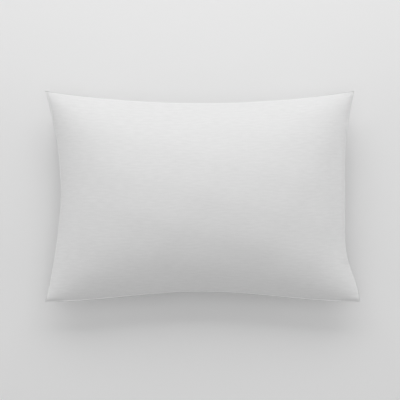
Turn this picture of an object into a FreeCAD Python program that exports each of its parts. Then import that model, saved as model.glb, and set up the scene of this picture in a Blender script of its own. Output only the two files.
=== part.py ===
"""Bed pillow: a zipped cover of woven cotton over an inner bag of fibre fill.

Millimetres. +X runs along the pillow, towards the end with the zip. +Y runs across it, towards the
back. +Z is up. The origin is at the middle of the pillow's box, on the surface that it lies on.
"""

import FreeCAD, Part
import math
import os
import re
from collections import namedtuple

import Sketcher
from FreeCAD import Placement, Rotation, Vector

DRIVING_SIZES = [
    # the outline in plan, measured from the origin to the seam
    ("corner_half_length", 368),
    ("left_half_length", 332),
    ("right_half_length", 340),
    ("corner_half_width", 248),
    ("back_half_width", 218),
    ("front_half_width", 226),
    ("right_straight_share", 0.3),
    ("front_flare_power", 2.4),
    # the profile above and below the seam
    ("crown_height", 97),
    ("seam_height", 78),
    ("rim_fullness", 0.35),
    ("corner_fullness", 0.7),
    ("length_power", 3),
    ("width_power", 2),
    # the layers of cloth and the room between them
    ("cover_cloth", 0.8),
    ("cover_rim", 1.6),
    ("insert_cloth", 0.6),
    ("insert_rim", 1.2),
    ("layer_gap", 1),
    ("insert_inset", 5),
    ("insert_zip_inset", 12),
    ("insert_corner_inset", 12),
    ("insert_straight_share", 0.6),
    ("fill_inset", 1),
    ("seam_gap", 0.5),
    ("thread_width", 1),
    ("thread_inset", 0.3),
    ("closing_length", 180),
    # the zip, with each depth measured inwards from the seam at the zip's end of the pillow
    ("zip_length", 300),
    ("lip_half_gap", 3.8),
    ("coil_depth", 4.6),
    ("coil_thickness", 2),
    ("coil_width", 1.9),
    ("coil_gap", 0.05),
    ("coil_parting", 0.75),
    ("parted_length", 3),
    ("parting_length", 6),
    ("stop_length", 2.5),
    ("stop_gap", 0.3),
    ("tape_edge", 1.2),
    ("tape_bend", 3.3),
    ("tape_thickness", 0.6),
    ("tape_reach", 6.4),
    ("tape_rise", 4.8),
    ("tape_tail", 8),
    ("stitch_size", 0.4),
    # the slider and its pull
    ("slider_length", 10),
    ("slider_clearance", 0.3),
    ("nose_half_width", 3.5),
    ("tail_half_width", 2.9),
    ("flange_width", 0.7),
    ("nose_length", 4),
    ("front_plate", 1.5),
    ("back_plate", 1.2),
    ("back_half_plate", 3),
    ("back_plate_taper", 0.5),
    ("post_half_width", 0.65),
    ("post_length", 2.8),
    ("bridge_half_length", 3.8),
    ("bridge_height", 2.25),
    ("bridge_bar", 0.8),
    ("bridge_foot", 1.4),
    ("bridge_shoulder", 1.75),
    ("bridge_half_width", 0.8),
    ("pull_length", 22),
    ("pull_half_width", 2.4),
    ("pull_neck_half_width", 2),
    ("pull_taper_length", 3),
    ("pull_thickness", 0.9),
    ("pull_bar_radius", 0.5),
    ("pull_window", 5.5),
    ("pull_window_half_width", 1.1),
    ("pull_height", 0.75),
    ("pull_offset", 1.5),
    ("pull_round_length", 3),
    ("pull_round_half_width", 1.7),
    ("pull_tip_length", 1),
    ("pull_tip_half_width", 0.8),
    ("pull_hole_from_tip", 3.5),
    ("pull_hole_radius", 1),
    # the care label in the left-hand seam
    ("label_width", 32),
    ("label_drop", 38),
    ("label_thickness", 0.4),
    ("label_tongue", 1.5),
    ("label_stand_off", 0.3),
    ("label_shift", 60),
]

SAMPLES_ALONG = 36
SAMPLES_ACROSS = 28
CROWDING = 0.3
NEARLY_NOTHING = 1e-9
SHEET = "Sizes"

doc = FreeCAD.newDocument("BedPillow")
sheet = doc.addObject("Spreadsheet::Sheet", SHEET)
for row, (alias, number) in enumerate(DRIVING_SIZES, start=1):
    sheet.set(f"A{row}", alias)
    sheet.set(f"B{row}", str(number))
    sheet.setAlias(f"B{row}", alias)
doc.recompute()

nodes = []


def size(alias):
    """The number in one named cell of the sheet."""
    return float(sheet.get(alias))


def bound(text):
    """An expression in the sheet's names, with the sheet's own name put before each."""
    aliases = {alias for alias, _ in DRIVING_SIZES}
    return re.sub(r"\w+", lambda word: f"{SHEET}.{word[0]}" if word[0] in aliases else word[0], text)


def value(text):
    """The number that such an expression gives."""
    return float(sheet.evalExpression(bound(text)))


def bind(thing, **expressions):
    """Bind properties to expressions in the sheet's names."""
    for name, text in expressions.items():
        thing.setExpression(name.replace("__", "."), bound(text))


def keep(thing, label):
    """Mark an object as one of the pillow's own pieces."""
    thing.Label = label
    nodes.append(thing)
    return thing


# ---------------------------------------------------------------- the pillow's soft form

Outline = namedtuple("Outline", "left right back front corner_x corner_y straight crown floor")


def cover_outline():
    return Outline(
        left=size("left_half_length"),
        right=size("right_half_length"),
        back=size("back_half_width"),
        front=size("front_half_width"),
        corner_x=size("corner_half_length"),
        corner_y=size("corner_half_width"),
        straight=size("right_straight_share"),
        crown=size("crown_height"),
        floor=0.0,
    )


def shrunk(outline, sides, down, end=None, corners=None):
    """The same form drawn in: at the sides, at the end with the zip, at the corners, and in height."""
    end = sides if end is None else end
    corners = sides if corners is None else corners
    return Outline(
        left=outline.left - sides,
        right=outline.right - end,
        back=outline.back - sides,
        front=outline.front - sides,
        corner_x=outline.corner_x - corners,
        corner_y=outline.corner_y - corners,
        straight=outline.straight,
        crown=outline.crown - down,
        floor=outline.floor + down,
    )


def steady_flare(share):
    """How far an edge has run out to its corner, at a share of the way from its middle."""
    return share**2


def late_flare(straight):
    """The end with the zip is straight for a share of the way, and runs out only beyond it."""
    return lambda share: (max(share - straight, 0.0) / (1.0 - straight)) ** 2


def early_flare(share):
    """The front edge runs out sooner and levels off before its corners."""
    return math.sin(share * math.pi / 2) ** size("front_flare_power")


def reach(middle, corner, flare, share):
    return middle + (corner - middle) * flare(abs(share))


def plan_point(outline, along, across):
    """The point in plan for a place on the form, with along and across from -1 to 1."""
    right = reach(outline.right, outline.corner_x, late_flare(outline.straight), across)
    left = reach(outline.left, outline.corner_x, steady_flare, across)
    back = reach(outline.back, outline.corner_y, steady_flare, along)
    front = reach(outline.front, outline.corner_y, early_flare, along)
    x = along * ((right + left) + along * (right - left)) / 2
    y = across * ((back + front) + across * (back - front)) / 2
    return x, y


def profile(share, power):
    """Height over one direction: a flat crown that comes down to a rim with a finite slope."""
    run = abs(share) ** power
    return (1 - run) / (1 - size("rim_fullness") * run)


def swell(along, across):
    """Height over the form, from 0 at the seam to 1 at the crown, with corners that taper evenly."""
    lengthwise = profile(along, size("length_power"))
    crosswise = profile(across, size("width_power"))
    both = lengthwise * crosswise
    if both < NEARLY_NOTHING:
        return 0.0
    return both / (lengthwise + crosswise - both) ** size("corner_fullness")


def crowded(step, count):
    """Evenly counted places from -1 to 1, somewhat closer together near the rim."""
    even = 2.0 * step / count - 1.0
    return (1 + CROWDING) * even - CROWDING * even**3


def dome(outline, up):
    """One half of the form as a closed solid that stands on the seam's plane or hangs from it."""
    base = size("seam_height") + up * size("seam_gap") / 2
    grid = []
    for step_along in range(SAMPLES_ALONG + 1):
        along = crowded(step_along, SAMPLES_ALONG)
        line = []
        for step_across in range(SAMPLES_ACROSS + 1):
            across = crowded(step_across, SAMPLES_ACROSS)
            x, y = plan_point(outline, along, across)
            line.append(Vector(x, y, base + up * outline.crown * swell(along, across)))
        grid.append(line)
    surface = Part.BSplineSurface()
    surface.interpolate(grid)
    skin = surface.toShape()
    cap = Part.Face(Part.Wire(Part.__sortEdges__(skin.Edges)))
    solid = Part.Solid(Part.makeShell([skin, cap]))
    if solid.Volume < 0:
        solid.reverse()
    if up > 0:
        return solid
    # the lower half is pressed flat where it rests
    low = Vector(-outline.corner_x, -outline.corner_y, outline.floor)
    room = Part.makeBox(2 * outline.corner_x, 2 * outline.corner_y, size("seam_height"), low)
    return solid.common(room)


def soft_feature(name, shape):
    feature = doc.addObject("Part::Feature", name)
    feature.Shape = shape
    feature.Placement = Placement()
    return feature


def panel_shell(outline, cloth, rim, up):
    """A panel of cloth: one half of the form, less the same half drawn in by the cloth."""
    return dome(outline, up).cut(dome(shrunk(outline, rim, cloth), up))


def box_tool(name, length, width, height, x, y, z):
    """A box that only cuts, with its sizes and its low corner bound to the sheet."""
    box = doc.addObject("Part::Box", name)
    bind(box, Length=length, Width=width, Height=height)
    bind(box, Placement__Base__x=x, Placement__Base__y=y, Placement__Base__z=z)
    return box


def cut(name, base, tool):
    result = doc.addObject("Part::Cut", name)
    result.Base = base
    result.Tool = tool
    return result


def seam_ring(outline):
    """The thread that joins two panels, as a flat ring in the gap between their rims."""
    inset = size("thread_inset")
    outer = seam_wire(shrunk(outline, inset, 0))
    inner = seam_wire(shrunk(outline, inset + size("thread_width"), 0))
    flat = Part.Face([outer, inner], "Part::FaceMakerBullseye")
    return flat.extrude(Vector(0, 0, size("seam_gap")))


def seam_wire(outline):
    """The seam's line in plan, at the underside of the gap between the rims."""
    level = size("seam_height") - size("seam_gap") / 2
    sides = []
    for fixed, turned in ((-1, False), (1, False), (-1, True), (1, True)):
        count = SAMPLES_ACROSS if turned else SAMPLES_ALONG
        points = []
        for step in range(count + 1):
            free = crowded(step, count)
            x, y = plan_point(outline, fixed if turned else free, free if turned else fixed)
            points.append(Vector(x, y, level))
        curve = Part.BSplineCurve()
        curve.interpolate(points)
        sides.append(curve.toShape())
    return Part.Wire(Part.__sortEdges__(sides))


# ---------------------------------------------------------------- pieces drawn as sections


def new_body(name, x, y, z):
    body = doc.addObject("PartDesign::Body", name)
    bind(body, Placement__Base__x=x, Placement__Base__y=y, Placement__Base__z=z)
    return body


def new_sketch(body, name, plane, offset="0"):
    """A sketch on one of the body's own planes, moved along the plane's normal."""
    roles = {feature.Role: feature for feature in body.Origin.OriginFeatures}
    sketch = body.newObject("Sketcher::SketchObject", name)
    sketch.AttachmentSupport = [(roles[plane], "")]
    sketch.MapMode = "FlatFace"
    bind(sketch, AttachmentOffset__Base__z=offset)
    return sketch


def draw(sketch, corners):
    """A closed outline of straight lines, every corner bound to the sheet."""
    points = [Vector(value(across), value(up), 0) for across, up in corners]
    first = sketch.GeometryCount
    count = len(points)
    for index in range(count):
        sketch.addGeometry(Part.LineSegment(points[index], points[(index + 1) % count]))
    for index in range(count):
        following = first + (index + 1) % count
        sketch.addConstraint(Sketcher.Constraint("Coincident", first + index, 2, following, 1))
    for index, pair in enumerate(corners):
        for kind, number, text in zip(("DistanceX", "DistanceY"), points[index][:2], pair):
            held = Sketcher.Constraint(kind, -1, 1, first + index, 1, number)
            place = sketch.addConstraint(held)
            sketch.setExpression(f"Constraints[{place}]", bound(text))
    return sketch


def pad(body, sketch, length, both_ways=False, inwards=False):
    feature = body.newObject("PartDesign::Pad", sketch.Name + "Pad")
    feature.Profile = sketch
    feature.Midplane = both_ways
    feature.Reversed = inwards
    bind(feature, Length=length)
    body.Tip = feature
    return feature


def pocket(body, sketch):
    """Cut right through both ways, and check that it really cut."""
    doc.recompute()
    before = body.Shape.Volume
    feature = body.newObject("PartDesign::Pocket", sketch.Name + "Pocket")
    feature.Profile = sketch
    feature.Type = "ThroughAll"
    feature.Midplane = True
    body.Tip = feature
    doc.recompute()
    if not body.Shape.Volume < before - NEARLY_NOTHING:
        raise RuntimeError(f"{sketch.Name} cut nothing")
    return feature


def signed(sign, text):
    return text if sign > 0 else f"- ( {text} )"


ZIP_FRONT = "right_half_length"
TAPE_DEPTH = "( coil_depth + coil_thickness )"
CHAIN_END = "( zip_length / 2 - stop_length - stop_gap )"
SLIDER_REST = "( slider_length / 2 - zip_length / 2 + stop_length + 2 * stop_gap )"
PLATE_DEPTH = "( coil_depth - slider_clearance - front_plate )"
SIDES = (("upper", 1), ("lower", -1))


def zip_tape(side, sign):
    """Flat behind the coil, then bent in along the inside of its panel."""
    body = new_body(f"ZipTape{side}", ZIP_FRONT, "0", "seam_height")
    sketch = new_sketch(body, f"ZipTapeSection{side}", "XZ_Plane")
    slant = "tape_thickness * sqrt(tape_reach ^ 2 + tape_rise ^ 2) / tape_reach"
    inner_bend = f"tape_bend + tape_rise * tape_thickness / tape_reach - {slant}"
    corners = [
        (f"- {TAPE_DEPTH}", "tape_edge"),
        (f"- {TAPE_DEPTH}", "tape_bend"),
        (f"- {TAPE_DEPTH} - tape_reach", "tape_bend + tape_rise"),
        (f"- {TAPE_DEPTH} - tape_reach", f"tape_bend + tape_rise - {slant}"),
        (f"- {TAPE_DEPTH} - tape_thickness", inner_bend),
        (f"- {TAPE_DEPTH} - tape_thickness", "tape_edge"),
    ]
    draw(sketch, [(across, signed(sign, up)) for across, up in corners])
    pad(body, sketch, "zip_length + 2 * tape_tail", both_ways=True)
    return keep(body, f"zip_tape_{side}")


def zip_stitch_row(side, sign):
    """The row of stitches that holds a tape to its panel, on the tape's outer face."""
    body = new_body(f"ZipStitches{side}", ZIP_FRONT, "0", "seam_height")
    sketch = new_sketch(body, f"ZipStitchSection{side}", "XZ_Plane")
    middle_x = f"- {TAPE_DEPTH} - tape_reach / 2"
    middle_z = "tape_bend + tape_rise / 2"
    slope = "stitch_size * tape_rise / tape_reach"
    corners = [
        (middle_x, middle_z),
        (f"{middle_x} - stitch_size", f"{middle_z} + {slope}"),
        (f"{middle_x} - stitch_size", f"{middle_z} + {slope} + stitch_size"),
        (middle_x, f"{middle_z} + stitch_size"),
    ]
    draw(sketch, [(across, signed(sign, up)) for across, up in corners])
    pad(body, sketch, "zip_length", both_ways=True)
    return keep(body, f"zip_stitches_{side}")


def zip_coil(side, sign):
    """One half of the chain, straight, with its closed end parted round the slider's post."""
    body = new_body(f"ZipCoil{side}", ZIP_FRONT, "0", "seam_height")
    sketch = new_sketch(body, f"ZipCoilOutline{side}", "YZ_Plane", "- coil_depth")
    joined = f"parting_length - {CHAIN_END}"
    parted = f"parted_length - {CHAIN_END}"
    inner = [
        (f"- {CHAIN_END}", "coil_gap + coil_parting"),
        (parted, "coil_gap + coil_parting"),
        (joined, "coil_gap"),
        (CHAIN_END, "coil_gap"),
    ]
    corners = inner + [(along, f"{up} - coil_gap + coil_width") for along, up in reversed(inner)]
    draw(sketch, [(along, signed(sign, up)) for along, up in corners])
    pad(body, sketch, "coil_thickness", inwards=True)
    return keep(body, f"zip_coil_{side}")


def stop_block(name, label, along, width, low):
    """A small crimped block in front of the tapes, at an end of the chain."""
    block = doc.addObject("Part::Box", name)
    bind(block, Length="coil_thickness", Width="stop_length", Height=width)
    bind(block, Placement__Base__x=f"{ZIP_FRONT} - {TAPE_DEPTH}")
    bind(block, Placement__Base__y=along, Placement__Base__z=f"seam_height + {low}")
    return keep(block, label)


def zip_stops():
    stop_block("ZipTopStopUpper", "zip_top_stop_upper", "- zip_length / 2", "coil_width", "coil_parting")
    low = "( - coil_parting - coil_width )"
    stop_block("ZipTopStopLower", "zip_top_stop_lower", "- zip_length / 2", "coil_width", low)
    along = "zip_length / 2 - stop_length"
    stop_block("ZipBottomStop", "zip_bottom_stop", along, "2 * coil_width", "( - coil_width )")


def plate_outline(nose, tail):
    """A slider plate seen from the front: wide at the nose, narrow at the tail."""
    end = "slider_length / 2"
    shoulder = "nose_length - slider_length / 2"
    upper = [(f"- {end}", nose), (shoulder, nose), (end, tail)]
    lower = [(along, f"- ( {up} )") for along, up in reversed(upper)]
    return upper + lower


def zip_slider():
    """Two plates joined by a post, flanges round the coils, and a bridge that holds the pull."""
    body = new_body("ZipSlider", ZIP_FRONT, SLIDER_REST, "seam_height")
    front = new_sketch(body, "SliderFrontPlate", "YZ_Plane", f"- {PLATE_DEPTH}")
    draw(front, plate_outline("nose_half_width", "tail_half_width"))
    pad(body, front, "front_plate", inwards=True)

    flange_depth = "coil_depth - slider_clearance"
    for side, sign in SIDES:
        flange = new_sketch(body, f"SliderFlange{side}", "YZ_Plane", f"- ( {flange_depth} )")
        shoulder = "nose_length - slider_length / 2"
        corners = [
            ("- slider_length / 2", "nose_half_width"),
            (shoulder, "nose_half_width"),
            ("slider_length / 2", "tail_half_width"),
            ("slider_length / 2", "tail_half_width - flange_width"),
            (shoulder, "nose_half_width - flange_width"),
            ("- slider_length / 2", "nose_half_width - flange_width"),
        ]
        draw(flange, [(along, signed(sign, up)) for along, up in corners])
        pad(body, flange, "coil_thickness", inwards=True)

    post = new_sketch(body, "SliderPost", "YZ_Plane", f"- ( {flange_depth} )")
    nose = "( - slider_length / 2 + slider_clearance )"
    post_outline = [
        (nose, "0"),
        (f"{nose} + post_length / 3", "post_half_width"),
        (f"{nose} + post_length", "0"),
        (f"{nose} + post_length / 3", "- post_half_width"),
    ]
    draw(post, post_outline)
    pad(body, post, "coil_thickness + tape_thickness + 2 * slider_clearance", inwards=True)

    back_depth = f"{TAPE_DEPTH} + tape_thickness + slider_clearance"
    back = new_sketch(body, "SliderBackPlate", "YZ_Plane", f"- ( {back_depth} )")
    draw(back, plate_outline("back_half_plate", "back_half_plate - back_plate_taper"))
    pad(body, back, "back_plate", inwards=True)

    bridge = new_sketch(body, "SliderBridge", "XY_Plane")
    foot = f"- {PLATE_DEPTH} - slider_clearance"
    top = f"bridge_height - {PLATE_DEPTH}"
    arch = [
        (foot, "- bridge_half_length"),
        (top, "bridge_bar - bridge_half_length"),
        (top, "bridge_half_length - bridge_bar"),
        (foot, "bridge_half_length"),
        (foot, "bridge_half_length - bridge_foot"),
        (f"{top} - bridge_bar", "bridge_half_length - bridge_shoulder"),
        (f"{top} - bridge_bar", "bridge_shoulder - bridge_half_length"),
        (foot, "bridge_foot - bridge_half_length"),
    ]
    draw(bridge, arch)
    pad(body, bridge, "2 * bridge_half_width", both_ways=True)
    return keep(body, "zip_slider")


def circle_sketch(body, name, plane, along, radius):
    """A circle on the sketch's first axis, its place and radius bound to the sheet."""
    sketch = new_sketch(body, name, plane)
    centre = Vector(value(along), 0, 0)
    edge = sketch.addGeometry(Part.Circle(centre, Vector(0, 0, 1), size(radius)))
    sketch.addConstraint(Sketcher.Constraint("DistanceY", -1, 1, edge, 3, 0))
    place = sketch.addConstraint(Sketcher.Constraint("DistanceX", -1, 1, edge, 3, centre.x))
    sketch.setExpression(f"Constraints[{place}]", bound(along))
    held = sketch.addConstraint(Sketcher.Constraint("Radius", edge, size(radius)))
    sketch.setExpression(f"Constraints[{held}]", bound(radius))
    return sketch


def zip_pull():
    """A flat tab with a round bar at its end, which passes under the slider's bridge and swings there."""
    x = f"{ZIP_FRONT} - {PLATE_DEPTH} + pull_height"
    body = new_body("ZipPull", x, f"{SLIDER_REST} + pull_offset", "seam_height")
    sketch = new_sketch(body, "PullOutline", "YZ_Plane")
    upper = [
        ("0", "pull_neck_half_width"),
        ("pull_window", "pull_neck_half_width"),
        ("pull_window + pull_taper_length", "pull_half_width"),
        ("pull_length - pull_round_length", "pull_half_width"),
        ("pull_length - pull_tip_length", "pull_round_half_width"),
        ("pull_length", "pull_tip_half_width"),
    ]
    lower = [(along, f"- ( {up} )") for along, up in reversed(upper)]
    draw(sketch, upper + lower)
    pad(body, sketch, "pull_thickness", both_ways=True)

    window = new_sketch(body, "PullWindow", "YZ_Plane")
    room = "pull_window_half_width"
    window_outline = [
        ("- pull_bar_radius", room),
        ("pull_window", room),
        ("pull_window", f"- {room}"),
        ("- pull_bar_radius", f"- {room}"),
    ]
    draw(window, window_outline)
    pocket(body, window)
    hole_place = "pull_length - pull_hole_from_tip"
    pocket(body, circle_sketch(body, "PullHole", "YZ_Plane", hole_place, "pull_hole_radius"))

    bar = circle_sketch(body, "PullBar", "XY_Plane", "0", "pull_bar_radius")
    pad(body, bar, "2 * pull_neck_half_width", both_ways=True)
    return keep(body, "zip_pull")


# ---------------------------------------------------------------- the care label


def left_seam(y):
    """The left-hand seam's place and slant at a distance y across the pillow."""
    outline = cover_outline()
    share = y / outline.corner_y
    x = -reach(outline.left, outline.corner_x, steady_flare, share)
    slope = -2 * (outline.corner_x - outline.left) * share / outline.corner_y
    return x, math.degrees(math.atan(slope))


def care_label():
    """A blank ribbon held in the left-hand seam, hanging down below it."""
    body = doc.addObject("PartDesign::Body", "CareLabel")
    sketch = new_sketch(body, "LabelSection", "XZ_Plane")
    out = "( - label_stand_off - label_thickness )"
    half = "label_thickness / 2"
    section = [
        ("label_tongue", half),
        (out, half),
        (out, "- label_drop"),
        ("- label_stand_off", "- label_drop"),
        ("- label_stand_off", f"- {half}"),
        ("label_tongue", f"- {half}"),
    ]
    draw(sketch, section)
    pad(body, sketch, "label_width", both_ways=True)
    body.Placement = label_place()
    return keep(body, "care_label")


def label_place():
    x, slant = left_seam(-size("label_shift"))
    spot = Vector(x, -size("label_shift"), size("seam_height"))
    return Placement(spot, Rotation(Vector(0, 0, 1), -slant))


def label_slot():
    """The room that the label's tongue takes out of the seam's thread."""
    room = size("label_stand_off")
    depth = size("label_tongue") + 2 * room
    width = size("label_width") + 2 * room
    low = Vector(-room, -width / 2, -size("seam_gap"))
    box = Part.makeBox(depth, width, 2 * size("seam_gap"), low)
    feature = doc.addObject("Part::Feature", "LabelSlot")
    feature.Shape = box
    feature.Placement = label_place()
    return feature


# ---------------------------------------------------------------- the pieces


def zip_opening(name):
    """The slot between the cover's lips, as long as the zip."""
    return box_tool(
        name,
        length="2 * ( corner_half_length - right_half_length )",
        width="zip_length + 2 * slider_clearance",
        height="2 * lip_half_gap",
        x="2 * right_half_length - corner_half_length",
        y="( - zip_length / 2 - slider_clearance )",
        z="seam_height - lip_half_gap",
    )


def make_cover():
    outline = cover_outline()
    for side, up in (("top", 1), ("bottom", -1)):
        shell = panel_shell(outline, size("cover_cloth"), size("cover_rim"), up)
        whole = soft_feature(f"CoverShell{side}", shell)
        opened = cut(f"Cover{side}", whole, zip_opening(f"ZipOpening{side}"))
        keep(opened, f"cover_{side}_panel")
    ring = soft_feature("CoverThreadRing", seam_ring(outline))
    past_zip = cut("CoverThreadOpen", ring, zip_opening("ZipOpeningThread"))
    keep(cut("CoverThread", past_zip, label_slot()), "cover_seam_thread")


def insert_outline():
    """The bag's form: the inside of the cover, drawn in further behind the zip and out of the corners."""
    inside = shrunk(cover_outline(), size("cover_rim"), size("cover_cloth"))
    drawn_in = shrunk(
        inside,
        sides=size("insert_inset"),
        end=size("insert_zip_inset"),
        corners=size("insert_corner_inset"),
        down=size("layer_gap"),
    )
    return drawn_in._replace(straight=size("insert_straight_share"))


def make_insert():
    outline = insert_outline()
    for side, up in (("top", 1), ("bottom", -1)):
        shell = panel_shell(outline, size("insert_cloth"), size("insert_rim"), up)
        keep(soft_feature(f"Insert{side}", shell), f"insert_{side}_panel")
    ring = seam_ring(outline)
    half = size("closing_length") / 2
    low = Vector(-outline.corner_x, -half, 0)
    end = Part.makeBox(outline.corner_x, 2 * half, size("seam_height") + size("crown_height"), low)
    keep(soft_feature("InsertThread", ring.cut(end)), "insert_seam_thread")
    keep(soft_feature("InsertClosing", ring.common(end)), "insert_closing_stitch")


def make_fill():
    inside = shrunk(insert_outline(), size("insert_rim"), size("insert_cloth"))
    outline = shrunk(inside, size("fill_inset"), size("layer_gap"))
    top = dome(outline, 1)
    bottom = dome(outline, -1)
    # the two halves are one mass of fibre, joined across the gap between the panels' rims
    middle = top.Faces[-1].extrude(Vector(0, 0, -size("seam_gap")))
    keep(soft_feature("FibreFill", top.fuse([middle, bottom]).removeSplitter()), "fibre_fill")


def make_zip():
    for side, sign in SIDES:
        zip_tape(side, sign)
        zip_stitch_row(side, sign)
        zip_coil(side, sign)
    zip_stops()
    zip_slider()
    zip_pull()


def write_parts():
    doc.recompute()
    for thing in doc.Objects:
        if "Invalid" in thing.State or "Error" in thing.State:
            raise RuntimeError(f"{thing.Label} did not compute: {thing.State}")
    for thing in nodes:
        if thing.Shape.isNull() or not thing.Shape.isValid() or not thing.Shape.Solids:
            raise RuntimeError(f"{thing.Label} has no valid solid")
    os.makedirs("parts", exist_ok=True)
    for thing in nodes:
        thing.Shape.exportStep(f"parts/{thing.Label}.step")
        box = thing.Shape.BoundBox
        extent = f"{box.XLength:.1f} x {box.YLength:.1f} x {box.ZLength:.1f}"
        print(f"{thing.Label}: {len(thing.Shape.Solids)} solid, {extent} mm, {thing.Shape.Volume:.0f} mm3")


make_cover()
make_insert()
make_fill()
make_zip()
care_label()
write_parts()
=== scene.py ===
"""A bed pillow's looks, round its CAD frame: a zipped cotton cover over an inner bag of fibre fill.

Metres, in the frame's own axes: +X towards the end with the zip, +Y towards the back, +Z up.
"""

import math
from collections import namedtuple

import bmesh
import bpy
import numpy as np
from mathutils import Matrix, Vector, noise


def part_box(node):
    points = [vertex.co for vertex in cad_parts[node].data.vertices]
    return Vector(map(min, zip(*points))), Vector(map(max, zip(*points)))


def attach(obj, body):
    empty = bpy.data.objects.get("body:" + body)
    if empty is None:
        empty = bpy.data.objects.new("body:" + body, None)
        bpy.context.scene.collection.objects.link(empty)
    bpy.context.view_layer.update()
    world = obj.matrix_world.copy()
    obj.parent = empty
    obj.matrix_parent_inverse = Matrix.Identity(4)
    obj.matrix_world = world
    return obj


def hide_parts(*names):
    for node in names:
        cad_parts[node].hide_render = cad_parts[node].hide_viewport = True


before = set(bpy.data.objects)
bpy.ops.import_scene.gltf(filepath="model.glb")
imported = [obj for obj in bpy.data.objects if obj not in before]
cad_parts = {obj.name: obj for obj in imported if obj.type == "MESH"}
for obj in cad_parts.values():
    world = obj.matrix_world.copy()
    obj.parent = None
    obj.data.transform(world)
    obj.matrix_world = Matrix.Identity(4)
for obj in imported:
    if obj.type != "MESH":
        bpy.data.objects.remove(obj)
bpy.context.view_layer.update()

MM = 0.001
scene = bpy.context.scene

# ---------------------------------------------------------------- places, from the frame

COVER_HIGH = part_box("cover_top_panel")[1]
INSERT_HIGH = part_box("insert_top_panel")[1]
FILL_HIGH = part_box("fibre_fill")[1]
THREAD_LOW, THREAD_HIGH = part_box("cover_seam_thread")
TAPE_LOW, TAPE_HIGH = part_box("zip_tape_upper")
COIL_LOW, COIL_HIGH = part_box("zip_coil_upper")
SEAM_Z = (THREAD_LOW.z + THREAD_HIGH.z) / 2

# how far the waist of each side stands in from the corners, and the zip's end from its tape
LEFT_WAIST_IN = 36 * MM
BACK_WAIST_IN = 28 * MM
FRONT_WAIST_IN = 22 * MM
SEAM_BEFORE_TAPE = 6.6 * MM

Outline = namedtuple(
    "Outline", "left right back front corner_x corner_y straight crown front_out back_in front_further"
)

COVER = Outline(
    left=COVER_HIGH.x - LEFT_WAIST_IN,
    right=TAPE_HIGH.x + SEAM_BEFORE_TAPE,
    back=COVER_HIGH.y - BACK_WAIST_IN,
    front=COVER_HIGH.y - FRONT_WAIST_IN,
    corner_x=COVER_HIGH.x,
    corner_y=COVER_HIGH.y,
    straight=0.3,
    crown=COVER_HIGH.z - SEAM_Z,
    front_out=6 * MM,
    back_in=7 * MM,
    front_further=1.2 * MM,
)

# the inner bag, drawn in from the cover at the sides and further behind the zip
BAG_IN = 6.6 * MM
BAG_ZIP_IN = 13.6 * MM
TICKING = 0.3 * MM

# how high the undersides of the bag and the fill lie, inside the cover's
BAG_REST = 2.2 * MM
FILL_REST = 4.5 * MM

# the seam's edge: two folded plies a side, pressed flat for a short way
CLOTH = 0.4 * MM
OUTER_LEVEL = 0.75 * MM
HEM_LEVEL = 0.25 * MM
FLAT_EDGE = 0.7 * MM
EASED_EDGE = 5 * MM
FOLD_TURNS = (45, 90, 135, 180)
HEM_WIDTH = 10 * MM
HEM_STEPS = (0.15, 0.4, 0.7, 1)
HEM_CLIPPED = 30 * MM
HEM_LEFT_AT_CORNER = 0.04
HEM_SPREAD_FROM = 5 * MM
HEM_SPREAD = 0.75

# the band at the seam's edge whose colour is painted lighter: a painted highlight for the bright rim
# that light makes along the seam
RIM_HIGHLIGHT_BAND = (1 * MM, 4 * MM)
BACK_TIGHTER = 3

# the front edge turns up a little along its middle, and down at its corners
RIM_RISE = 2.3 * MM
RIM_BAND = 2.0 * MM
CORNER_DROP = 4.5 * MM
CORNER_BAND = 9.5 * MM
CORNER_FROM = 320 * MM
CORNER_FULL = 345 * MM

# the lips of the zip's opening
LIP_RISE = 3.8 * MM
FRONT_LIPS_MEET = (148 * MM, 166 * MM)
BACK_LIPS_MEET = (156 * MM, 194 * MM)
TOPSTITCH_IN = 6.5 * MM
ZIP_HALF = 150 * MM

BASE_CELLS = (56, 40)
FINER = 4
BAG_CELLS = (42, 30)
BAG_FINER = 3

# how much closer together the grid's points are near the rim
CROWDING = 0.3

# how each side runs out to its corners: a higher power keeps its middle straighter
LEFT_FRONT_POWER = 1.55
RIGHT_FRONT_POWER = 3.3
FRONT_POWER = 2.0


# ---------------------------------------------------------------- the form


def shrunk(outline, sides, end, corner_x, corner_y, crown):
    """The same form drawn in, for what is inside the cover."""
    return outline._replace(
        left=outline.left - sides,
        right=outline.right - end,
        back=outline.back - sides,
        front=outline.front - sides,
        corner_x=corner_x,
        corner_y=corner_y,
        straight=0.6,
        crown=crown,
        front_out=0,
        back_in=0,
        front_further=0,
    )


def reach(waist, corner, run):
    """How far out a side is, where run goes from 0 at its waist to 1 at its corner."""
    return waist + (corner - waist) * run


def levelled(share, power):
    """A run from 0 to 1 that levels off at the corner."""
    return np.sin(share * math.pi / 2) ** power


def crowded(count):
    """Places from -1 to 1, somewhat closer together near the rim."""
    even = np.linspace(-1, 1, count + 1)
    return (1 + CROWDING) * even - CROWDING * even**3


def profile(share, power, fullness=0.35):
    """A bulge from 1 in the middle to 0 at the ends, fuller than a plain power of the share."""
    run = np.abs(share) ** power
    return (1 - run) / (1 - fullness * run)


def swell(along, across):
    """Height over the form, from 0 at the seam to 1 at the crown."""
    lengthwise = profile(along, 3)
    crosswise = profile(across, 2)
    both = lengthwise * crosswise
    return both / np.maximum(lengthwise + crosswise - both, 1e-9) ** 0.7


def left_end(outline, across):
    """How far out the left-hand end is at a share across the form, the front being below 0."""
    power = np.where(across < 0, LEFT_FRONT_POWER, 2)
    return reach(outline.left, outline.corner_x, np.abs(across) ** power)


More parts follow.
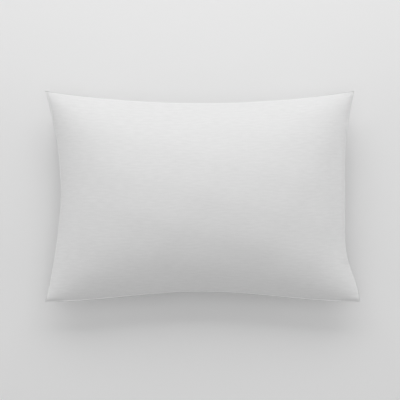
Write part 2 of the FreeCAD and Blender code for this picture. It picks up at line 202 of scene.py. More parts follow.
def plan(outline, along, across):
    """The place in plan for shares from -1 to 1 along and across the form."""
    beyond_zip = np.maximum(np.abs(across) - outline.straight, 0) / (1 - outline.straight)
    right_run = np.where(across < 0, levelled(beyond_zip, RIGHT_FRONT_POWER), beyond_zip**2)
    right_corner = outline.corner_x + np.where(across < 0, outline.front_out, -outline.back_in)
    right = reach(outline.right, right_corner, right_run)
    left = left_end(outline, across)
    back = reach(outline.back, outline.corner_y, along**2)
    front_corner = outline.corner_y + outline.front_further
    front = reach(outline.front, front_corner, levelled(np.abs(along), FRONT_POWER))
    x = along * ((right + left) + along * (right - left)) / 2
    y = across * ((back + front) + across * (back - front)) / 2
    return x, y


def half_form(outline, up, cells=BASE_CELLS):
    """One half of the form as a grid of points, with rows along +X and columns along +Y."""
    along, across = np.meshgrid(crowded(cells[0]), crowded(cells[1]), indexing="ij")
    x, y = plan(outline, along, across)
    z = SEAM_Z + up * outline.crown * swell(along, across)
    return np.stack([x, y, z], axis=-1)


def finer(grid, times=FINER):
    """The same surface with more points, on a smooth spline through the given ones."""
    for axis in (0, 1):
        line = np.moveaxis(grid, axis, 0)
        before = 2 * line[:1] - line[1:2]
        after = 2 * line[-1:] - line[-2:-1]
        line = np.concatenate([before, line, after])
        a, b, c, d = line[:-3], line[1:-2], line[2:-1], line[3:]
        steps = []
        for step in range(times):
            t = step / times
            curve = 2 * b + (c - a) * t + (2 * a - 5 * b + 4 * c - d) * t**2
            steps.append((curve + (3 * b - a - 3 * c + d) * t**3) / 2)
        dense = np.stack(steps, axis=1).reshape(-1, *line.shape[1:])
        dense = np.concatenate([dense, line[-2:-1]])
        grid = np.moveaxis(dense, 0, axis)
    return grid


def ease(start, end, at):
    """0 up to start, 1 from end on, and smooth between."""
    share = np.clip((at - start) / (end - start), 0, 1)
    return share**2 * (3 - 2 * share)


def edge_distances(grid):
    """How far each point is, in plan, from the ends of its own row and column."""
    flat = grid[..., :2]
    left = np.linalg.norm(flat - flat[:1], axis=-1)
    right = np.linalg.norm(flat - flat[-1:], axis=-1)
    front = np.linalg.norm(flat - flat[:, :1], axis=-1)
    back = np.linalg.norm(flat - flat[:, -1:], axis=-1)
    return left, right, front, back


def to_the_seam(distances):
    """The shortest of the four distances, smoothed where two of them meet at a corner."""
    total = sum(1 / np.maximum(distance, 1e-6) ** 4 for distance in distances)
    return total**-0.25


# ---------------------------------------------------------------- meshes


def new_object(name, points, faces, uv=None, painted_highlight_mask=None):
    mesh = bpy.data.meshes.new(name)
    mesh.from_pydata(np.asarray(points).reshape(-1, 3).tolist(), [], faces)
    if uv is not None:
        corners = np.zeros(len(mesh.loops), dtype=np.int32)
        mesh.loops.foreach_get("vertex_index", corners)
        layer = mesh.uv_layers.new(name="cut")
        layer.data.foreach_set("uv", np.asarray(uv).reshape(-1, 2)[corners].ravel())
    # the painted highlight's mask, kept on the points for the cloth's material
    if painted_highlight_mask is not None:
        highlight_attribute = mesh.attributes.new("painted_highlight_mask", "FLOAT", "POINT")
        highlight_attribute.data.foreach_set("value", np.asarray(painted_highlight_mask).ravel())
    mesh.polygons.foreach_set("use_smooth", [True] * len(mesh.polygons))
    mesh.update()
    thing = bpy.data.objects.new(name, mesh)
    scene.collection.objects.link(thing)
    return thing


def grid_faces(rows, columns, start=0, flip=False, closed=False):
    """Quads over points numbered row by row; closed joins the last column to the first."""
    row, column = np.meshgrid(np.arange(rows - 1), np.arange(columns - (not closed)), indexing="ij")
    following = (column + 1) % columns
    quads = [row * columns + column, (row + 1) * columns + column]
    quads += [(row + 1) * columns + following, row * columns + following]
    faces = np.stack(quads, axis=-1).reshape(-1, 4) + start
    return (faces[:, ::-1] if flip else faces).tolist()


def applied(thing, *modifiers):
    """Apply modifiers, given as (kind, settings), and leave none on the object."""
    for kind, settings in modifiers:
        modifier = thing.modifiers.new(kind.title(), kind)
        for name, setting in settings.items():
            setattr(modifier, name, setting)
    seen = thing.evaluated_get(bpy.context.evaluated_depsgraph_get())
    mesh = bpy.data.meshes.new_from_object(seen)
    thing.modifiers.clear()
    thing.data = mesh
    return thing


def thickened(thing, thickness):
    return applied(thing, ("SOLIDIFY", {"thickness": thickness, "offset": 0, "use_even_offset": False}))


def unit(vectors):
    return vectors / np.maximum(np.linalg.norm(vectors, axis=-1, keepdims=True), 1e-12)


def tube(line, radii, reference, sides=6):
    """Points and faces of a tube along a line, turned by a direction that it never runs along."""
    line = np.asarray(line)
    run = unit(np.gradient(line, axis=0))
    first = unit(reference - run * np.sum(run * reference, axis=-1, keepdims=True))
    second = np.cross(run, first)
    turn = np.arange(sides) * 2 * math.pi / sides
    ring = first[:, None] * np.cos(turn)[:, None] + second[:, None] * np.sin(turn)[:, None]
    points = line[:, None] + ring * np.broadcast_to(radii, len(line))[:, None, None]
    faces = grid_faces(len(line), sides, closed=True)
    last = (len(line) - 1) * sides
    faces.append(list(range(sides)))
    faces.append([last + side for side in reversed(range(sides))])
    return points.reshape(-1, 3), faces


def joined(name, parts):
    """One object out of many (points, faces) pairs."""
    points = []
    faces = []
    count = 0
    for part_points, part_faces in parts:
        points.append(part_points)
        faces += [[corner + count for corner in face] for face in part_faces]
        count += len(part_points)
    return new_object(name, np.concatenate(points), faces)


def stitch(middle, along, outward, length, radius):
    """One stitch: a short thread that dips into the cloth at both ends."""
    shares = np.array([-1, -0.9, -0.6, 0, 0.6, 0.9, 1])
    dip = np.array([-1.0, -0.35, 0.0, 0.15, 0.0, -0.35, -1.0])[:, None] * radius
    line = middle + shares[:, None] * along * length / 2 + dip * outward
    radii = radius * np.array([0.5, 0.9, 1, 1, 1, 0.9, 0.5])
    return tube(line, radii, outward, sides=6)


def evenly(line, pitch):
    """Places at an even pitch on a line of points, and the line's direction at each."""
    steps = np.linalg.norm(np.diff(line, axis=0), axis=-1)
    run = np.concatenate([[0], np.cumsum(steps)])
    count = max(int(run[-1] / pitch), 2)
    at = (np.arange(count) + 0.5) * run[-1] / count
    places = np.stack([np.interp(at, run, line[:, axis]) for axis in range(3)], axis=-1)
    ahead = np.stack([np.interp(at + 0.5 * MM, run, line[:, axis]) for axis in range(3)], axis=-1)
    behind = np.stack([np.interp(at - 0.5 * MM, run, line[:, axis]) for axis in range(3)], axis=-1)
    return places, unit(ahead - behind)


def border(grid):
    """The grid's own border, as one closed run of (row, column) places."""
    rows, columns = grid.shape[:2]
    places = [(row, 0) for row in range(rows - 1)]
    places += [(rows - 1, column) for column in range(columns - 1)]
    places += [(row, columns - 1) for row in range(rows - 1, 0, -1)]
    places += [(0, column) for column in range(columns - 1, 0, -1)]
    return np.array(places)


def inward(loop):
    """The direction in plan that points into the form at each point of a closed run."""
    run = np.roll(loop, -1, axis=0) - np.roll(loop, 1, axis=0)
    return unit(np.stack([-run[:, 1], run[:, 0]], axis=-1))


# ---------------------------------------------------------------- the simulation


def closed_form(top, bottom):
    """Both halves welded at the seam: points, faces, the seam's points, the lower half's numbers."""
    rows, columns = top.shape[:2]
    numbers = np.arange(rows * columns).reshape(rows, columns)
    inner = np.zeros((rows, columns), bool)
    inner[1:-1, 1:-1] = True
    below = numbers.copy()
    below[inner] = rows * columns + np.arange(inner.sum())
    points = np.concatenate([top.reshape(-1, 3), bottom[inner]])
    lower = np.array(grid_faces(rows, columns, flip=True))
    faces = grid_faces(rows, columns) + below.ravel()[lower].tolist()
    return points, faces, numbers[~inner], below


def calmed(shift, passes=3):
    """A grid of shifts without the ripples that are only as wide as its own cells."""
    for axis in (0, 1) * passes:
        line = np.moveaxis(shift, axis, 0)
        line[1:-1] = (line[:-2] + 2 * line[1:-1] + line[2:]) / 4
    return shift


def blown_up(top, bottom, pressure=4.0, frames=20, most=12 * MM):
    """The fill pushes the cover out against its seam, by cloth simulation."""
    points, faces, seam, below = closed_form(top, bottom)
    thing = new_object("cover_blown", points, faces)
    held = thing.vertex_groups.new(name="seam")
    held.add([int(corner) for corner in seam], 1.0, "REPLACE")
    cloth = thing.modifiers.new("Cloth", "CLOTH")
    cloth.settings.quality = 6
    cloth.settings.mass = 0.02
    cloth.settings.tension_stiffness = 5
    cloth.settings.compression_stiffness = 5
    cloth.settings.shear_stiffness = 2
    cloth.settings.bending_stiffness = 0.5
    cloth.settings.use_pressure = True
    cloth.settings.uniform_pressure_force = pressure
    cloth.settings.vertex_group_mass = "seam"
    cloth.settings.effector_weights.gravity = 0
    cloth.point_cache.frame_end = frames
    for number in range(1, frames + 1):
        scene.frame_set(number)
    seen = thing.evaluated_get(bpy.context.evaluated_depsgraph_get())
    moved = np.zeros(len(points) * 3)
    seen.data.vertices.foreach_get("co", moved)
    bpy.data.objects.remove(thing)
    scene.frame_set(1)
    shift = moved.reshape(-1, 3) - points
    size = np.linalg.norm(shift, axis=-1, keepdims=True)
    shift *= np.minimum(1, most / np.maximum(size, 1e-9))
    count = top.shape[0] * top.shape[1]
    return top + calmed(shift[:count].reshape(top.shape)), bottom + calmed(shift[below])


def rested(z, softness=1.5 * MM, level=0.25 * MM):
    """Heights kept above the surface that the pillow lies on, pressed flat there."""
    return level + (z + np.sqrt(z**2 + 4 * softness**2)) / 2


# ---------------------------------------------------------------- the cover


def puckers(grid, distances, up, height=0.22 * MM, pitch=11 * MM, start=1.5 * MM, end=15 * MM):
    """Small gathers that a seam pulls into the cloth, which die out a short way in."""
    total = np.zeros(grid.shape[:2])
    left, right, front, back = distances
    for index, (distance, run) in enumerate(((left, 1), (right, 1), (front, 0), (back, 0))):
        at = grid[..., run]
        drift = 2.2 * np.sin(at * 37 + 1.7 * index + up) + 1.3 * np.sin(at * 91 + 0.6 * index)
        wave = np.sin(at * 2 * math.pi / pitch + drift) * (0.65 + 0.35 * np.sin(at * 53 + index))
        total += wave * ease(0, start, distance) * (1 - ease(start, end, distance))
    return height * total


def settling(grid):
    """Broad, very slight unevenness where the fill lies thicker or thinner."""
    x, y = grid[..., 0], grid[..., 1]
    waves = np.sin(x * 31 + 1.1) * np.sin(y * 27 + 0.4) + 0.6 * np.sin(x * 55 - y * 38 + 2.3)
    return 0.45 * MM * (waves + 0.5 * np.sin(x * 17 + y * 71 + 0.8))


def lift_of_lips(y):
    """How far the lips stand open at a place across the pillow, from 0 to 1.

    They meet further on at the back, to leave room for the pull beyond the open slider.
    """
    return (1 - ease(*FRONT_LIPS_MEET, -y)) * (1 - ease(*BACK_LIPS_MEET, y))


def at_zip(grid, reach_in=30 * MM):
    """1 beside the zip's end of the form, and 0 away from it."""
    right = grid[-1:, :, 0] - grid[..., 0]
    return 1 - ease(0, reach_in, right)


def turned(x, from_front):
    """How far the front edge turns up or down at a distance in from it."""
    corner = ease(CORNER_FROM, CORNER_FULL, np.abs(x))
    rise = RIM_RISE * np.exp(-from_front / RIM_BAND)
    drop = CORNER_DROP * np.maximum(1 - from_front / CORNER_BAND, 0) ** 2
    return rise * (1 - corner) - drop * corner


def dressed(grid, up):
    """The cover's own surface: a pressed edge at the seam, gathers, and the lips of the opening."""
    distances = edge_distances(grid)
    left, right, front, back = distances
    seam = to_the_seam((left, right, front, BACK_TIGHTER * back))
    free = ease(FLAT_EDGE, EASED_EDGE, seam)
    height = np.abs(grid[..., 2] - SEAM_Z)
    lips = LIP_RISE * lift_of_lips(grid[..., 1]) * at_zip(grid)
    uneven = puckers(grid, distances, up) + settling(grid) * ease(10 * MM, 60 * MM, seam)
    result = grid.copy()
    result[..., 2] = SEAM_Z + up * (OUTER_LEVEL * (1 - free) + height * free + lips + uneven)
    result[..., 2] += turned(grid[..., 0], front)
    if up < 0:
        result[..., 2] = rested(result[..., 2])
    return result


def hem_rings(grid, up):
    """The fold at the seam's edge, and the allowance turned in behind it, ring by ring."""
    places = border(grid)
    loop = grid[places[:, 0], places[:, 1]]
    into = inward(loop[:, :2])
    from_front = edge_distances(grid)[2][places[:, 0], places[:, 1]]
    corners = grid[::grid.shape[0] - 1, ::grid.shape[1] - 1, :2].reshape(-1, 2)
    from_corner = np.linalg.norm(loop[:, None, :2] - corners, axis=-1).min(axis=1)
    clipped = np.maximum(ease(0, HEM_CLIPPED, from_corner), HEM_LEFT_AT_CORNER)
    rise = (OUTER_LEVEL - HEM_LEVEL) / 2
    beside_zip = (loop[:, 0] > 0) * at_zip(grid)[places[:, 0], places[:, 1]]
    lips = LIP_RISE * lift_of_lips(loop[:, 1]) * beside_zip
    rings = []
    for angle in FOLD_TURNS:
        turn = math.radians(angle)
        rings.append((-rise * math.sin(turn), HEM_LEVEL + rise * (1 + math.cos(turn))))
    rings += [(share * HEM_WIDTH, HEM_LEVEL) for share in HEM_STEPS]
    result = []
    for depth, level in rings:
        # beside the zip the hem spreads, to follow its tape
        slope = HEM_SPREAD * max(depth - HEM_SPREAD_FROM, 0) * np.where(lips > 0.5 * LIP_RISE, 1, 0)
        inset = depth * (clipped if depth > 0 else 1) * np.ones(len(loop))
        ring = loop.copy()
        ring[:, :2] += into * inset[:, None]
        ring[:, 2] = SEAM_Z + up * (level + lips + slope)
        ring[:, 2] += turned(ring[:, 0], from_front + np.maximum(inset * into[:, 1], 0))
        result.append(ring)
    return np.stack(result)


def flat_cut(grid):
    """Where each point of a panel lies on the flat cloth that it is cut from."""
    along = np.linalg.norm(np.diff(grid, axis=0), axis=-1)
    across = np.linalg.norm(np.diff(grid, axis=1), axis=-1)
    u = np.concatenate([np.zeros((1, grid.shape[1])), np.cumsum(along, axis=0)])
    v = np.concatenate([np.zeros((grid.shape[0], 1)), np.cumsum(across, axis=1)], axis=1)
    u -= u[len(u) // 2]
    v -= v[:, v.shape[1] // 2 : v.shape[1] // 2 + 1]
    return np.stack([u, v], axis=-1)


def make_panel(name, grid, up, cloth):
    """One panel of the cover with its fold and hem, as a sheet with a real thickness."""
    rings = hem_rings(grid, up)
    places = border(grid)
    count = grid.shape[0] * grid.shape[1]
    around = len(places)
    border_numbers = places[:, 0] * grid.shape[1] + places[:, 1]
    faces = grid_faces(*grid.shape[:2], flip=up < 0)
    strip = np.array(grid_faces(len(rings) + 1, around, closed=True, flip=up > 0))
    numbers = np.concatenate([border_numbers, count + np.arange(len(rings) * around)])
    faces += numbers[strip].tolist()
    points = np.concatenate([grid.reshape(-1, 3), rings.reshape(-1, 3)])
    cut = flat_cut(grid)
    border_cut = cut[places[:, 0], places[:, 1]]
    ring_cut = np.concatenate([border_cut + [0, MM * number] for number in range(len(rings))])
    # painted highlight: 1 at the seam's edge and on the fold and hem, fading out inwards; the cloth's
    # colour is lightened there so the rim looks lit
    painted_highlight = 1 - ease(*RIM_HIGHLIGHT_BAND, to_the_seam(edge_distances(grid)))
    painted_highlight_mask = np.concatenate([painted_highlight.ravel(), np.ones(len(rings) * around)])
    panel = new_object(name, points, faces, np.concatenate([cut.reshape(-1, 2), ring_cut]), painted_highlight_mask)
    thickened(panel, CLOTH)
    panel.data.materials.append(cloth)
    return panel


def seam_stitches(name, grid, thread, pitch=3.1 * MM, inset=0.1 * MM, crosswise=0.7):
    """The stitches that show in the groove between the two folded edges.

    There are none where the edge runs crosswise beside the zip's opening.
    """
    places = border(grid)
    loop = grid[places[:, 0], places[:, 1]].copy()
    loop[:, :2] += inward(loop[:, :2]) * inset
    loop[:, 2] = SEAM_Z + turned(loop[:, 0], edge_distances(grid)[2][places[:, 0], places[:, 1]])
    loop = np.concatenate([loop, loop[:1]])
    spots, runs = evenly(loop, pitch)
    parts = []
    for spot, run in zip(spots, runs):
        if spot[0] > 0 and lift_of_lips(spot[1]) > 0 and abs(run[1]) > crosswise:
            continue
        outward = np.array([run[1], -run[0], 0])
        parts.append(stitch(spot, run, outward, 0.62 * pitch, 0.2 * MM))
    piece = joined(name, parts)
    piece.data.materials.append(thread)
    return piece


def topstitch(name, grid, up, thread, pitch=3.2 * MM):
    """The row that holds a zip tape to its lip, where it shows on the outside of the cover."""
    middle = grid.shape[0] // 2
    line = []
    for column in range(grid.shape[1]):
        points = grid[middle:, column][::-1]
        steps = np.linalg.norm(np.diff(points, axis=0), axis=-1)
        run = np.concatenate([[0], np.cumsum(steps)])
        line.append([np.interp(TOPSTITCH_IN, run, points[:, axis]) for axis in range(3)])
        line[-1] += [np.interp(TOPSTITCH_IN + MM, run, points[:, axis]) for axis in range(3)]
    line = np.array(line)
    kept = np.abs(line[:, 1]) < ZIP_HALF
    line = line[kept]
    spots, runs = evenly(line[:, :3], pitch)
    further = [np.interp(spots[:, 1], line[:, 1], line[:, 3 + axis]) for axis in range(3)]
    outward = unit(np.cross(runs, np.stack(further, axis=-1) - spots))
    outward *= np.sign(outward[:, 2:3]) * up
    parts = []
    for spot, run, out in zip(spots, runs, outward):
        parts.append(stitch(spot + out * (CLOTH / 2 + 0.1 * MM), run, out, 0.72 * pitch, 0.24 * MM))
    piece = joined(name, parts)
    piece.data.materials.append(thread)
    return piece


# ---------------------------------------------------------------- the zip


def zip_tape(name, up, material_made):
    """Flat behind the coil, then bent in along the hem, as long as the CAD's tape."""
    front = TAPE_HIGH.x
    section = [(0, 0.95), (0, 1.8), (0, 2.7), (-0.12, 3.2), (-0.5, 3.65), (-1.2, 4.2)]
    section += [(-2.6, 5.25), (-4.2, 6.45), (-6.2, 7.95)]
    rows = np.linspace(TAPE_LOW.y, TAPE_HIGH.y, 160)
    points = np.zeros((len(section), len(rows), 3))
    uv = np.zeros((len(section), len(rows), 2))
    for index, (depth, height) in enumerate(section):
        points[index, :, 0] = front + depth * MM - 0.2 * MM
        points[index, :, 1] = rows
        points[index, :, 2] = SEAM_Z + up * height * MM
        uv[index, :, 0] = height * MM
        uv[index, :, 1] = rows
    tape = new_object(name, points, grid_faces(len(section), len(rows), flip=up > 0), uv)
    thickened(tape, 0.4 * MM)
    tape.data.materials.append(material_made)
    return tape


def parting(y):
    """How far each coil stands aside at its closed end, round the slider's post."""
    return 0.75 * MM * (1 - ease(COIL_LOW.y + 3 * MM, COIL_LOW.y + 6 * MM, y))


def zip_coil(name, up, material_made, pitch=1.25 * MM, steps=12):
    """A coil of nylon thread, half a turn out of step with the one it locks into."""
    turns = int((COIL_HIGH.y - COIL_LOW.y - 0.6 * MM) / pitch)
    turn = np.arange(turns * steps + 1) / steps
    angle = turn * 2 * math.pi + (math.pi if up < 0 else 0)
    y = COIL_LOW.y + 0.3 * MM + turn * pitch
    middle_x = (COIL_LOW.x + COIL_HIGH.x) / 2
    x = middle_x + 0.72 * MM * np.sin(angle)
    z = SEAM_Z + up * (0.82 * MM + parting(y)) + 0.98 * MM * np.cos(angle) * up
    coil = joined(name, [tube(np.stack([x, y, z], axis=-1), 0.25 * MM, np.array([0.0, 1.0, 0.0]))])
    coil.data.materials.append(material_made)
    return coil


def rounded_copy(name, node, width, material_made):
    """A copy of a CAD node's mesh with its edges worn round."""
    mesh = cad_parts[node].data.copy()
    thing = bpy.data.objects.new(name, mesh)
    scene.collection.objects.link(thing)
    worked = bmesh.new()
    worked.from_mesh(mesh)
    bmesh.ops.remove_doubles(worked, verts=worked.verts, dist=1e-6)
    bmesh.ops.dissolve_limit(worked, angle_limit=0.02, verts=worked.verts, edges=worked.edges)
    worked.to_mesh(mesh)
    worked.free()
    mesh.materials.clear()
    mesh.polygons.foreach_set("use_smooth", [True] * len(mesh.polygons))
    rounding = {"width": width, "segments": 3, "limit_method": "ANGLE", "angle_limit": 0.6}
    rounding["harden_normals"] = True
    applied(thing, ("BEVEL", rounding))
    thing.data.materials.append(material_made)
    return thing


# ---------------------------------------------------------------- inside the cover


def make_bag(cloth, thread):
    """The inner bag: two panels of ticking, sewn round and closed by hand at one end."""
    outline = shrunk(COVER, BAG_IN, BAG_ZIP_IN, INSERT_HIGH.x, INSERT_HIGH.y, INSERT_HIGH.z - SEAM_Z)
    halves = {}
    for name, up in (("top", 1), ("bottom", -1)):
        grid = finer(half_form(outline, up, BAG_CELLS), BAG_FINER)
        distances = edge_distances(grid)
        seam = to_the_seam(distances)
        grid[..., 2] += up * puckers(grid, distances, up, 0.5 * MM, 14 * MM)
        grid[..., 2] += up * OUTER_LEVEL * 0.6 * (1 - ease(0, 4 * MM, seam))
        if up < 0:
            grid[..., 2] = rested(grid[..., 2], level=BAG_REST)
        panel = new_object(f"bag_{name}", grid, grid_faces(*grid.shape[:2], flip=up < 0), flat_cut(grid))
        thickened(panel, TICKING)
        panel.data.materials.append(cloth)
        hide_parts(f"insert_{name}_panel")
        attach(panel, "pillow")
        halves[name] = grid
    make_bag_thread(halves["top"], thread)


def make_bag_thread(grid, thread, closing_half=90 * MM):
    places = border(grid)
    loop = grid[places[:, 0], places[:, 1]].copy()
    loop[:, :2] += inward(loop[:, :2]) * 0.3 * MM
    loop[:, 2] = SEAM_Z
    spots, runs = evenly(np.concatenate([loop, loop[:1]]), 3.4 * MM)
    sewn = []
    closed = []
    for number, (spot, run) in enumerate(zip(spots, runs)):
        outward = np.array([run[1], -run[0], 0])
        by_hand = spot[0] < 0 and abs(spot[1]) < closing_half
        if by_hand:
            slant = unit(run + np.array([0, 0, 0.35 if number % 2 else -0.35]))
            closed.append(stitch(spot + outward * 0.2 * MM, slant, outward, 2.6 * MM, 0.22 * MM))
        else:
            sewn.append(stitch(spot, run, outward, 2.1 * MM, 0.2 * MM))
    rows = (
        ("bag_stitches", sewn, "insert_seam_thread"),
        ("bag_closing", closed, "insert_closing_stitch"),
    )
    for name, parts, node in rows:
        piece = joined(name, parts)
        piece.data.materials.append(thread)
        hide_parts(node)
        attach(piece, "pillow")


def make_fill(fibre):
    """A mass of loose fibre with a lumpy surface."""
    inset = INSERT_HIGH.x - FILL_HIGH.x
    crown = FILL_HIGH.z - SEAM_Z
    outline = shrunk(COVER, BAG_IN + inset, BAG_ZIP_IN + inset, FILL_HIGH.x, FILL_HIGH.y, crown)
    top = finer(half_form(outline, 1, BAG_CELLS), BAG_FINER)
    bottom = finer(half_form(outline, -1, BAG_CELLS), BAG_FINER)
    bottom[..., 2] = rested(bottom[..., 2], level=FILL_REST)
    points, faces, seam, below = closed_form(top, bottom)
    middle = np.array([0, 0, SEAM_Z])
    lumps = []
    for point in points:
        place = Vector(point) * 28
        lumps.append(noise.noise(place) + 0.5 * noise.noise(place * 2.7))
    inwards = unit(middle - points)
    points = points + inwards * (1.4 * MM + 1.6 * MM * np.array(lumps)[:, None])
    fill = new_object("fill", points, faces)
    fill.data.materials.append(fibre)
    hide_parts("fibre_fill")
    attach(fill, "pillow")


# ---------------------------------------------------------------- the label


def make_label(ribbon):
    """A blank ribbon, folded double, that hangs from the left-hand seam."""
    low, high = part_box("care_label")
    middle_y = (low.y + high.y) / 2
    width = 32 * MM
    drop = high.z - low.z
    seam_x = -left_end(COVER, middle_y / COVER.corner_y)
    ahead_x = -left_end(COVER, (middle_y - MM) / COVER.corner_y)
    tangent = unit(np.array([ahead_x - seam_x, -MM, 0]))
    outward = np.array([tangent[1], -tangent[0], 0])
    path = [(-3.0, 0.14), (-0.5, 0.14), (0.55, 0.1), (1.0, -0.35)]
    for step in range(1, 13):
        down = step / 12
        path.append((1.15 + 0.5 * math.sin(down * 2.6), -0.8 - down * (drop / MM - 3.2)))
    bottom = path[-1]
    path.append((bottom[0] - 0.1, bottom[1] - 0.55))
    path.append((bottom[0] - 0.45, bottom[1] - 0.75))
    path.append((bottom[0] - 0.75, bottom[1] - 0.5))
    for step in range(12, 0, -1):
        down = step / 12
        path.append((0.62 + 0.35 * math.sin(down * 2.6), -0.8 - down * (drop / MM - 3.6)))
    path += [(0.45, -0.4), (-0.5, -0.14), (-3.0, -0.14)]
    across = np.linspace(-width / 2, width / 2, 17)
    points = np.zeros((len(path), len(across), 3))
    uv = np.zeros((len(path), len(across), 2))
    base = np.array([seam_x, middle_y, SEAM_Z])
    run = 0.0
    for index, (out, up) in enumerate(path):
        if index:
            run += math.dist(path[index], path[index - 1]) * MM
        hang = np.clip(-up * MM / drop, 0, 1)
        wave = 0.8 * MM * hang * np.sin(across / width * 2.6 + 0.5) + 1.3 * MM * hang**2
        points[index] = base + outward * (out * MM + wave)[:, None] + tangent * across[:, None]
        points[index, :, 2] += up * MM
        uv[index] = np.stack([across, np.full(len(across), run)], axis=-1)
    label = new_object("label", points, grid_faces(len(path), len(across)), uv)
    thickened(label, 0.2 * MM)
    label.data.materials.append(ribbon)
    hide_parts("care_label")
    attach(label, "pillow")


# ---------------------------------------------------------------- materials


class Look:
    """A material's nodes, added one at a time."""

    def __init__(self, name, roughness, sheen=0.0):
        self.material = bpy.data.materials.new(name)
        self.material.use_nodes = True
        self.tree = self.material.node_tree
        self.shader = self.tree.nodes["Principled BSDF"]
        self.shader.inputs["Roughness"].default_value = roughness
        self.shader.inputs["Sheen Weight"].default_value = sheen
        self.shader.inputs["Sheen Roughness"].default_value = 0.5
        self.coordinates = self.add("ShaderNodeTexCoord")

    def add(self, kind, **settings):
        node = self.tree.nodes.new(kind)
        for name, setting in settings.items():
            setattr(node, name, setting)
        return node

    def link(self, source, target):
        self.tree.links.new(source, target)

    def placed(self, space, scale, turn=0.0):
        """The coordinates of the object or of its flat cut, scaled."""
        mapping = self.add("ShaderNodeMapping")
        mapping.inputs["Scale"].default_value = scale
        mapping.inputs["Rotation"].default_value = (0, 0, turn)
        self.link(self.coordinates.outputs[space], mapping.inputs["Vector"])
        return mapping.outputs["Vector"]

    def noise(self, space, scale, detail=2.0):
        node = self.add("ShaderNodeTexNoise")
        node.inputs["Scale"].default_value = 1.0
        node.inputs["Detail"].default_value = detail
        self.link(self.placed(space, scale), node.inputs["Vector"])
        return node.outputs["Fac"]

    def bands(self, space, per_metre, direction, turn=0.0):
        node = self.add("ShaderNodeTexWave", wave_type="BANDS", bands_direction=direction)
        node.inputs["Scale"].default_value = 1.0
        node.inputs["Distortion"].default_value = 0.6
        node.inputs["Detail"].default_value = 1.0
        scale = per_metre * math.pi / 10
        self.link(self.placed(space, (scale, scale, scale), turn), node.inputs["Vector"])
        return node.outputs["Fac"]

    def mix(self, operation, first, second):
        node = self.add("ShaderNodeMath", operation=operation)
        for socket, entry in zip(node.inputs, (first, second)):
            if isinstance(entry, (int, float)):
                socket.default_value = entry
            else:
                self.link(entry, socket)
        return node.outputs["Value"]

    def tinted(self, factor, dark, light):
        """Base colour that runs from one tone to another."""
        ramp = self.add("ShaderNodeValToRGB")
        ramp.color_ramp.elements[0].color = (*dark, 1)
        ramp.color_ramp.elements[1].color = (*light, 1)
        self.link(factor, ramp.inputs["Fac"])
        self.link(ramp.outputs["Color"], self.shader.inputs["Base Color"])

    def bumped(self, height, strength, distance):
        bump = self.add("ShaderNodeBump")
        bump.inputs["Strength"].default_value = strength
        bump.inputs["Distance"].default_value = distance
        self.link(height, bump.inputs["Height"])
        self.link(bump.outputs["Normal"], self.shader.inputs["Normal"])


def tones(middle, spread):
    dark = tuple(channel - spread for channel in middle)
    light = tuple(channel + spread for channel in middle)
    return dark, light


def woven(name, colour, threads_per_metre, roughness, sheen, strength=0.3, spread=0.05, painted_highlight=0.0):
    """Plain weave: threads both ways, with slubs that run along them, and a painted highlight where the
    edge mask is set.
    """
    look = Look(name, roughness, sheen)
    warp = look.bands("UV", threads_per_metre, "X")
    weft = look.bands("UV", threads_per_metre, "Y")
    weave = look.mix("MULTIPLY", warp, weft)
    slubs = look.noise("UV", (45, 240, 1), 1.5)
    cross_slubs = look.noise("UV", (420, 60, 1), 3.0)
    uneven = look.mix("ADD", look.mix("MULTIPLY", slubs, 0.8), look.mix("MULTIPLY", cross_slubs, 0.2))
    # painted highlight: the tone is raised by the edge mask, painting a lit rim along the seam into the
    # colour
    edge = look.add("ShaderNodeAttribute", attribute_name="painted_highlight_mask").outputs["Fac"]
    tone = look.mix("ADD", uneven, look.mix("MULTIPLY", edge, painted_highlight))
    look.tinted(tone, *tones(colour, spread))
    look.bumped(look.mix("ADD", weave, uneven), strength, 0.06 * MM)
    return look.material


def herringbone(name, colour, threads_per_metre, roughness, sheen):
    look = Look(name, roughness, sheen)
    one_way = look.bands("UV", threads_per_metre, "X", math.radians(35))
    other_way = look.bands("UV", threads_per_metre, "X", math.radians(-35))
    turns = look.bands("UV", 400, "X")
    chosen = look.mix("GREATER_THAN", turns, 0.5)
    first = look.mix("MULTIPLY", one_way, chosen)
    second = look.mix("MULTIPLY", other_way, look.mix("SUBTRACT", 1.0, chosen))
    pattern = look.mix("ADD", first, second)
    look.tinted(pattern, *tones(colour, 0.02))
    look.bumped(pattern, 0.35, 0.08 * MM)
    return look.material


def mottled(name, colour, scale, roughness, sheen=0.0, spread=0.01, strength=0.2, distance=0.05 * MM):
    """A plain surface with slight unevenness."""
    look = Look(name, roughness, sheen)
    specks = look.noise("Object", (scale, scale, scale), 4.0)
    look.tinted(specks, *tones(colour, spread))
    look.bumped(specks, strength, distance)
    return look.material


# ---------------------------------------------------------------- camera, floor and light


def make_camera(view_width=0.945, lens=90, aim=(-0.003, -0.009)):
    data = bpy.data.cameras.new("Camera")
    data.sensor_width = 36
    data.lens = lens
    camera = bpy.data.objects.new("Camera", data)
    camera.location = (*aim, SEAM_Z + view_width * data.lens / data.sensor_width)
    scene.collection.objects.link(camera)
    scene.camera = camera


def make_floor(edge=8.0):
    corners = [(-edge, -edge, 0), (edge, -edge, 0), (edge, edge, 0), (-edge, edge, 0)]
    floor = new_object("floor", corners, [(0, 1, 2, 3)])
    paint = mottled("floor_paint", (0.82, 0.82, 0.82), 6.0, 0.9, spread=0.003, strength=0.02)
    floor.data.materials.append(paint)


def area_light(name, place, aim, width, height, power):
    lamp = bpy.data.lights.new(name, "AREA")
    lamp.shape = "RECTANGLE"
    lamp.size = width
    lamp.size_y = height
    lamp.energy = power
    thing = bpy.data.objects.new(name, lamp)
    thing.location = place
    thing.rotation_euler = (Vector(aim) - Vector(place)).to_track_quat("-Z", "Y").to_euler()
    thing.visible_camera = False
    scene.collection.objects.link(thing)


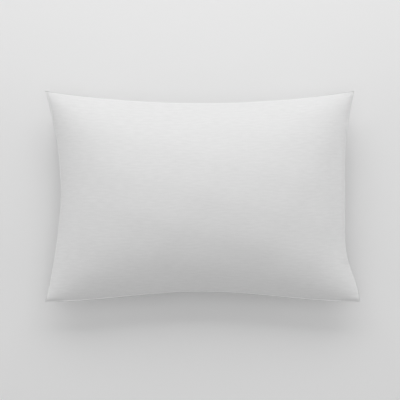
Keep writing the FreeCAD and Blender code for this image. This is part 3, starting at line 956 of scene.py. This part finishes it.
def make_light(all_round=0.45):
    """Even light from all round, a window beyond the pillow's back, and fainter lamps."""
    world = bpy.data.worlds.new("World")
    scene.world = world
    world.use_nodes = True
    background = world.node_tree.nodes["Background"]
    background.inputs["Color"].default_value = (1, 1, 1, 1)
    background.inputs["Strength"].default_value = all_round
    middle = (0, 0, 0.05)
    area_light("window", (0, 2.05, 1.6), middle, 3.2, 1.35, 35)
    area_light("ceiling", (0, 0, 3), middle, 2.5, 2.5, 12)
    area_light("side_right", (3.8, 0, 1.4), middle, 3.2, 1.1, 15.5)
    area_light("side_left", (-3.8, 0, 1.4), middle, 3.2, 1.1, 14)
    scene.view_settings.view_transform = "Standard"


# ---------------------------------------------------------------- the pillow


def make_cover(cloth, thread):
    top = half_form(COVER, 1)
    bottom = half_form(COVER, -1)
    top, bottom = blown_up(top, bottom)
    top[..., 2] = SEAM_Z + (top[..., 2] - SEAM_Z) * COVER.crown / (top[..., 2].max() - SEAM_Z)
    for name, half, up, row in (("top", top, 1, "upper"), ("bottom", bottom, -1, "lower")):
        grid = dressed(finer(half), up)
        panel = make_panel(f"cover_{name}", grid, up, cloth)
        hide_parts(f"cover_{name}_panel")
        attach(panel, "pillow")
        stitches = topstitch(f"lip_stitches_{row}", grid, up, thread)
        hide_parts(f"zip_stitches_{row}")
        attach(stitches, "pillow")
    seam = seam_stitches("seam_stitches", finer(top), thread)
    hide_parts("cover_seam_thread")
    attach(seam, "pillow")


def make_zip(tape, nylon, enamel):
    for row, up in (("upper", 1), ("lower", -1)):
        pieces = [(zip_tape(f"tape_{row}", up, tape), f"zip_tape_{row}", "zip_tape", "pillow")]
        pieces.append((zip_coil(f"coil_{row}", up, nylon), f"zip_coil_{row}", "zip_coil", "pillow"))
        stop = rounded_copy(f"top_stop_{row}", f"zip_top_stop_{row}", 0.3 * MM, enamel)
        pieces.append((stop, f"zip_top_stop_{row}", "zip_metal", "pillow"))
        for piece, node, slot, body in pieces:
            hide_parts(node)
            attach(piece, body)
    fittings = (
        ("bottom_stop", "zip_bottom_stop", 0.35 * MM, "pillow"),
        ("slider_body", "zip_slider", 0.16 * MM, "slider"),
        ("pull_tab", "zip_pull", 0.14 * MM, "pull"),
    )
    for name, node, width, body in fittings:
        piece = rounded_copy(name, node, width, enamel)
        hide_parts(node)
        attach(piece, body)


make_camera()
make_floor()
make_light()

# the cover's cotton carries a painted highlight along its seam's edge
cotton = woven("cover_cotton", (0.757, 0.757, 0.757), 3300, 0.85, 0.1, painted_highlight=0.5)
ticking = woven("insert_ticking", (0.76, 0.76, 0.745), 2400, 0.9, 0.05, strength=0.35)
sewing_thread = mottled("thread", (0.79, 0.79, 0.785), 2500, 0.7, 0.2, 0.03, 0.5)
tape_cloth = herringbone("zip_tape", (0.76, 0.76, 0.76), 1800, 0.85, 0.05)
nylon = mottled("zip_coil", (0.78, 0.78, 0.77), 900, 0.38, spread=0.01, strength=0.05)
enamel = mottled("zip_metal", (0.76, 0.76, 0.76), 500, 0.28, spread=0.008, strength=0.05)
satin = woven("label_ribbon", (0.80, 0.80, 0.80), 2000, 0.45, 0.3, strength=0.2)
fibre = mottled("fibre_fill", (0.84, 0.84, 0.83), 260, 0.95, 0.4, 0.03, 0.6, 1.0 * MM)

make_cover(cotton, sewing_thread)
make_zip(tape_cloth, nylon, enamel)
make_bag(ticking, sewing_thread)
make_fill(fibre)
make_label(satin)
